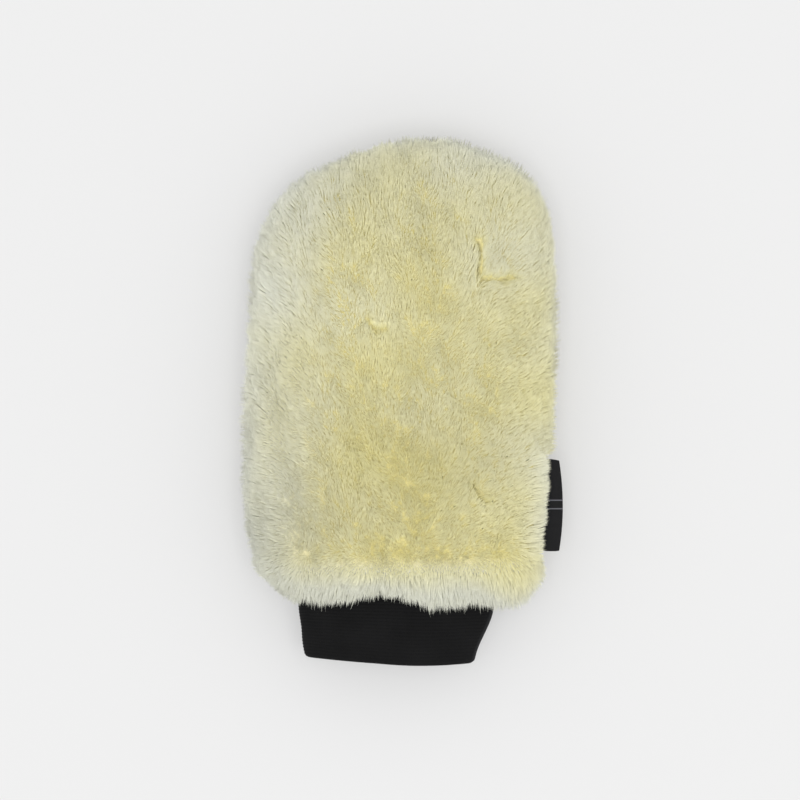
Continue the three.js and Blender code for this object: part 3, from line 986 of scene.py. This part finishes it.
def cuff_wall():
    """The two plies in one profile: out along the face, round the fold and back inside."""
    length = CUFF_ROOT_Y - CUFF_END_Y
    wall = 2 * CUFF_PLY + CUFF_PLY_GAP
    bend = 0.5 * wall
    last = 1 - bend / length
    face = np.linspace(0, last, 150)
    hidden = np.linspace(0, last, 12)
    turn = np.linspace(0, math.pi, 10)[1:-1]
    inner_turn = np.linspace(math.pi, 0, 6)[1:-1]
    slot_bend = 0.5 * CUFF_PLY_GAP
    ribs = RIB_DEPTH * (0.5 - 0.5 * np.cos(2 * math.pi * face * length / RIB_PITCH)) ** 1.5
    share = [face, last + bend / length * np.sin(turn), face[::-1]]
    depth = [ribs, bend * (1 - np.cos(turn)), wall - ribs[::-1]]
    share += [hidden, last + slot_bend / length * np.sin(inner_turn), hidden[::-1]]
    depth += [np.full(12, wall - CUFF_PLY), bend - slot_bend * np.cos(inner_turn), np.full(12, CUFF_PLY)]
    share, depth = np.concatenate(share), np.concatenate(depth)
    around = np.linspace(0, 1, 260, endpoint=False)
    s, a = np.meshgrid(share, around, indexing="ij")
    d = np.repeat(depth[:, None], len(around), axis=1)
    strip = side_strip(a)
    d[: len(face)] = d[: len(face)] * (1 - strip[: len(face)]) - 0.15 * MM * strip[: len(face)]
    grid = cuff_at(s, a, d)
    middle = cuff_at(s, a, np.full_like(d, bend))
    loose = np.clip(s / 0.1, 0, 1)
    soft = waves(middle, [46 * MM, 27 * MM, 15 * MM], 21)
    soft *= np.array([0.5, 0.3, 1.0])
    gathers = np.cos(2 * math.pi * 38 * a + 3 * waves(middle, [22 * MM], 22)[..., 0])
    grid += 0.35 * MM * loose[..., None] * soft
    grid[..., 2] += 0.3 * MM * gathers * np.exp(-s / 0.16) * np.sign(grid[..., 2] - SEAM_Z)
    made = skin("cuff_ribbed_knit", grid, loop_rows=True)
    strip = made.data.attributes.new("strip", "FLOAT", "POINT")
    strip.data.foreach_set("value", side_strip(a).astype(np.float32).ravel())
    settle(made, CUFF_PAINT, "cuff_band", "bend")


def cuff_threads():
    around = np.linspace(0, 1, 200, endpoint=False)
    ring = cuff_at(np.full(200, 0.028), around, np.full(200, -0.85 * MM))
    inner = cuff_at(np.full(200, 0.028), around, np.full(200, 1 * MM))
    made = overlock("cuff_join_overlock", ring, unit(ring - inner), (0, 1, 0), 0.5 * MM, True)
    settle(made, BLACK_THREAD, "cuff_join_thread", "bend")
    share = np.linspace(0.04, 0.86, 60)
    wall = 2 * CUFF_PLY + CUFF_PLY_GAP
    line = cuff_at(share, np.zeros(60), np.full(60, wall + 1.0 * MM))
    out = np.tile((1.0, 0.0, 0.0), (60, 1))
    made = overlock("cuff_closing_overlock", line, out, (0, 0, 1), 0.6 * MM, False)
    settle(made, BLACK_THREAD, "cuff_closing_thread", "bend")


# ---------- label ----------
def label():
    """A tape folded in half, its two cut edges held in the side seam."""
    root, fold = LABEL_LOW.x, LABEL_HIGH.x + 0.3 * MM
    straight = fold - LABEL_FOLD
    wide = np.linspace(0, 1, 16)
    rising = np.clip(wide / 0.35, 0, 1)
    outer_z = LABEL_ROOT + (LABEL_FOLD - LABEL_ROOT) * rising * rising * (3 - 2 * rising)
    x = root + (straight - root) * wide
    turn = np.linspace(math.pi / 2, -math.pi / 2, 13)[1:-1]
    thin = LABEL_FOLD - LABEL_TAPE
    xs = [x, straight + LABEL_FOLD * np.cos(turn), x[::-1]]
    zs = [outer_z, LABEL_FOLD * np.sin(turn), -outer_z[::-1]]
    xs += [x, straight + thin * np.cos(-turn), x[::-1]]
    zs += [LABEL_TAPE - outer_z, thin * np.sin(-turn), (outer_z - LABEL_TAPE)[::-1]]
    x, z = np.concatenate(xs), np.concatenate(zs)
    rows = 70
    v = np.linspace(0, 1, rows)[:, None]
    out = (x - root) / (fold - root)
    low = LABEL_LOW.y - 0.8 * MM + 1.4 * MM * (2 * np.abs(out - 0.7)) ** 3
    high = LABEL_HIGH.y + 0.2 * MM - 0.9 * MM * np.clip((out - 0.5) / 0.5, 0, 1) ** 2
    y = low + (high - low) * v
    bow = LABEL_BOW * (2 * v - 1) ** 2
    place_x = x - bow * out
    curl = 0.7 * MM * np.sin(2 * math.pi * 0.85 * v + 1.0) * out**1.5
    grid = np.stack(np.broadcast_arrays(place_x, y, SEAM_Z + z + curl), axis=-1)
    made = skin("label_folded_tape", grid)
    settle(made, LABEL_PAINT, "label_tape", "label")


pile(1, UPPER_YARNS)
pile(-1, LOWER_YARNS)
cloths()
seams()
cuff_wall()
cuff_threads()
label()


# ---------- stage, lights and camera ----------
FRAME_WIDE = 0.416  # what the camera sees at the seam's height
FLOOR_REACH = 3.0
FLOOR_GREY = (0.42, 0.42, 0.42, 1)
FLOOR_GLOW = 0.30  # keeps the mitt's own shadow as faint as in the photograph


def floor():
    reach = FLOOR_REACH
    corners = [(-reach, -reach, 0), (reach, -reach, 0), (reach, reach, 0), (-reach, reach, 0)]
    made = added("floor", corners, [(0, 1, 2, 3)], smooth=False)
    paint = Paint("floor_paint", 0.9, specular=0.1)
    paint.shader.inputs["Base Color"].default_value = FLOOR_GREY
    paint.shader.inputs["Emission Color"].default_value = (1, 1, 1, 1)
    paint.shader.inputs["Emission Strength"].default_value = FLOOR_GLOW
    made.data.materials.append(paint.material)


def area_light(name, place, size, power):
    light = bpy.data.lights.new(name, "AREA")
    light.size = size
    light.energy = power
    made = bpy.data.objects.new(name, light)
    bpy.context.scene.collection.objects.link(made)
    made.location = place
    made.rotation_euler = (-Vector(place)).to_track_quat("-Z", "Y").to_euler()


def world_light(strength):
    world = bpy.data.worlds.new("studio")
    bpy.context.scene.world = world
    world.use_nodes = True
    world.node_tree.nodes["Background"].inputs["Color"].default_value = (1, 1, 1, 1)
    world.node_tree.nodes["Background"].inputs["Strength"].default_value = strength


def camera():
    lens = bpy.data.cameras.new("camera")
    lens.lens = 190
    lens.sensor_width = 36
    lens.clip_end = 20
    made = bpy.data.objects.new("camera", lens)
    bpy.context.scene.collection.objects.link(made)
    made.location = (-0.0008, 0.0003, SEAM_Z + FRAME_WIDE * lens.lens / lens.sensor_width)
    bpy.context.scene.camera = made


floor()
world_light(1.02)
area_light("overhead", (0.1, -0.35, 2.85), 1.8, 32.4)
camera()
bpy.context.scene.view_settings.view_transform = "Standard"
